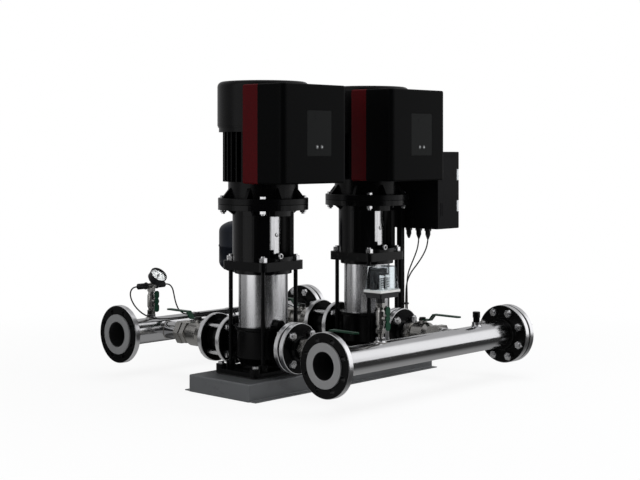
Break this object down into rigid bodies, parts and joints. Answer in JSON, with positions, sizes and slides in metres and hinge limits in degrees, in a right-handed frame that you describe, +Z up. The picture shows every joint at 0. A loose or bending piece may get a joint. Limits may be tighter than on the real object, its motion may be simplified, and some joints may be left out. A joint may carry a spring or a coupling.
{
  "type": "booster pump set",
  "caption": "Booster set of vertical multistage pumps with motor-top drives on a base plate, between steel suction and discharge manifolds, with tank, gauge, switch and cabinet.",
  "frame": {"origin": "middle of the base plate's four anchor holes, on the floor", "axes": "+X along the manifolds towards their blind ends, +Y from the suction to the discharge manifold, +Z up"},
  "size_m": [1.013, 1.197, 1.018],
  "materials": {
    "base": "satin grey-blue paint",
    "black_iron": "black paint on cast iron",
    "stainless": "brushed stainless steel",
    "bright_steel": "zinc-plated steel",
    "dark_steel": "dark steel",
    "gasket": "matte",
    "motor_paint": "black paint",
    "fan_plastic": "matte",
    "red_paint": "dark red gloss",
    "drive_plastic": "black gloss",
    "keypad": "satin",
    "key": "satin",
    "flange_paint": "black paint, bare rim",
    "nickel": "nickel-plated brass",
    "green_lever": "green plastic coat",
    "black_plastic": "matte",
    "white_plastic": "satin",
    "clear_plastic": "clear plastic",
    "clear_glass": "clear",
    "needle": "matte black",
    "tank_paint": "dark green gloss",
    "cabinet_paint": "dark grey powder coat",
    "latch_grey": "satin",
    "cable": "matte"
  },
  "bodies": {
    "set": {"base_plate": "base", "cabinet_box": "cabinet_paint", "cabinet_post": "dark_steel", "cable_fittings": "black_plastic", "check_valve_bodies": "black_iron", "counter_flanges": "flange_paint", "coupling_guards": "stainless", "discharge_manifold": "stainless", "flange_bolts": "bright_steel", "gaskets": "gasket", "gauge_case": "black_plastic", "gauge_glass": "clear_glass", "keypads": "keypad", "manifold_flanges": "flange_paint", "motor_stools": "black_iron", "plugs": "dark_steel", "pressure_sensors": "black_plastic", "pressure_switch_base": "white_plastic", "pressure_switch_cover": "clear_plastic", "pressure_switch_works": "bright_steel", "pump_1_casting": "black_iron", "pump_1_drive_cover": "drive_plastic", "pump_1_drive_housing": "red_paint", "pump_1_fan_cover": "motor_paint", "pump_1_motor": "motor_paint", "pump_2_casting": "black_iron", "pump_2_drive_cover": "drive_plastic", "pump_2_drive_housing": "red_paint", "pump_2_fan_cover": "motor_paint", "pump_2_motor": "motor_paint", "pump_bolts": "bright_steel", "pump_chambers": "stainless", "pump_heads": "black_iron", "sensor_cable_1": "cable", "sensor_cable_2": "cable", "small_valves": "nickel", "suction_manifold": "stainless", "tank": "tank_paint", "tie_rods": "dark_steel", "valve_bodies": "nickel"},
    "rotor_1": {"pump_1_shaft": "stainless", "pump_1_fan": "fan_plastic"},
    "suction_lever_1": {"suction_valve_1_lever": "green_lever"},
    "discharge_lever_1": {"discharge_valve_1_lever": "green_lever"},
    "check_disc_1": {"check_valve_1_disc": "nickel"},
    "down_key_1": {"pump_1_down_key": "key"},
    "up_key_1": {"pump_1_up_key": "key"},
    "rotor_2": {"pump_2_shaft": "stainless", "pump_2_fan": "fan_plastic"},
    "suction_lever_2": {"suction_valve_2_lever": "green_lever"},
    "discharge_lever_2": {"discharge_valve_2_lever": "green_lever"},
    "check_disc_2": {"check_valve_2_disc": "nickel"},
    "down_key_2": {"pump_2_down_key": "key"},
    "up_key_2": {"pump_2_up_key": "key"},
    "needle": {"gauge_needle": "needle"},
    "gauge_handle": {"gauge_valve_handle": "green_lever"},
    "switch_handle": {"switch_valve_handle": "green_lever"},
    "door": {"cabinet_door": "cabinet_paint"},
    "upper_latch": {"cabinet_upper_latch": "latch_grey"},
    "lower_latch": {"cabinet_lower_latch": "latch_grey"}
  },
  "joints": [
    {"name": "pump_1_spin", "type": "hinge", "parent": "set", "child": "rotor_1", "pos_m": [-0.2625, 0, 0.5], "axis": [0, 0, 1], "continuous": true},
    {"name": "suction_valve_1_turn", "type": "hinge", "parent": "set", "child": "suction_lever_1", "pos_m": [-0.2625, -0.257, 0.15], "axis": [0, 0, 1], "range_deg": [0, 90]},
    {"name": "discharge_valve_1_turn", "type": "hinge", "parent": "set", "child": "discharge_lever_1", "pos_m": [-0.2625, 0.322, 0.15], "axis": [0, 0, -1], "range_deg": [0, 90]},
    {"name": "check_valve_1_lift", "type": "slide", "parent": "set", "child": "check_disc_1", "axis": [0, 1, 0], "range_m": [0, 0.01], "stiffness_N_per_m": 150},
    {"name": "pump_1_down_press", "type": "slide", "parent": "set", "child": "down_key_1", "axis": [0, 1, 0], "range_m": [0, 0.0009], "stiffness_N_per_m": 800},
    {"name": "pump_1_up_press", "type": "slide", "parent": "set", "child": "up_key_1", "axis": [0, 1, 0], "range_m": [0, 0.0009], "stiffness_N_per_m": 800},
    {"name": "pump_2_spin", "type": "hinge", "parent": "set", "child": "rotor_2", "pos_m": [0.2625, 0, 0.5], "axis": [0, 0, 1], "continuous": true},
    {"name": "suction_valve_2_turn", "type": "hinge", "parent": "set", "child": "suction_lever_2", "pos_m": [0.2625, -0.257, 0.15], "axis": [0, 0, 1], "range_deg": [0, 90]},
    {"name": "discharge_valve_2_turn", "type": "hinge", "parent": "set", "child": "discharge_lever_2", "pos_m": [0.2625, 0.322, 0.15], "axis": [0, 0, -1], "range_deg": [0, 90]},
    {"name": "check_valve_2_lift", "type": "slide", "parent": "set", "child": "check_disc_2", "axis": [0, 1, 0], "range_m": [0, 0.01], "stiffness_N_per_m": 150},
    {"name": "pump_2_down_press", "type": "slide", "parent": "set", "child": "down_key_2", "axis": [0, 1, 0], "range_m": [0, 0.0009], "stiffness_N_per_m": 800},
    {"name": "pump_2_up_press", "type": "slide", "parent": "set", "child": "up_key_2", "axis": [0, 1, 0], "range_m": [0, 0.0009], "stiffness_N_per_m": 800},
    {"name": "gauge_needle_turn", "type": "hinge", "parent": "set", "child": "needle", "pos_m": [-0.311, 0.52, 0.30845], "axis": [0, 0.7071, -0.7071], "range_deg": [0, 270]},
    {"name": "gauge_valve_turn", "type": "hinge", "parent": "set", "child": "gauge_handle", "pos_m": [-0.311, 0.52, 0.25395], "axis": [0, 1, 0], "range_deg": [0, 90]},
    {"name": "switch_valve_turn", "type": "hinge", "parent": "set", "child": "switch_handle", "pos_m": [-0.197, -0.455, 0.26795], "axis": [0, 1, 0], "range_deg": [0, 90]},
    {"name": "cabinet_door_open", "type": "hinge", "parent": "set", "child": "door", "pos_m": [0.5154, 0.1016, 0.645], "axis": [0, 0, 1], "range_deg": [0, 110]},
    {"name": "cabinet_upper_latch_turn", "type": "hinge", "parent": "door", "child": "upper_latch", "pos_m": [0.543, -0.195, 0.645], "axis": [0, 0, -1], "range_deg": [0, 35]},
    {"name": "cabinet_lower_latch_turn", "type": "hinge", "parent": "door", "child": "lower_latch", "pos_m": [0.543, -0.195, 0.645], "axis": [0, 0, -1], "range_deg": [0, 35]}
  ]
}
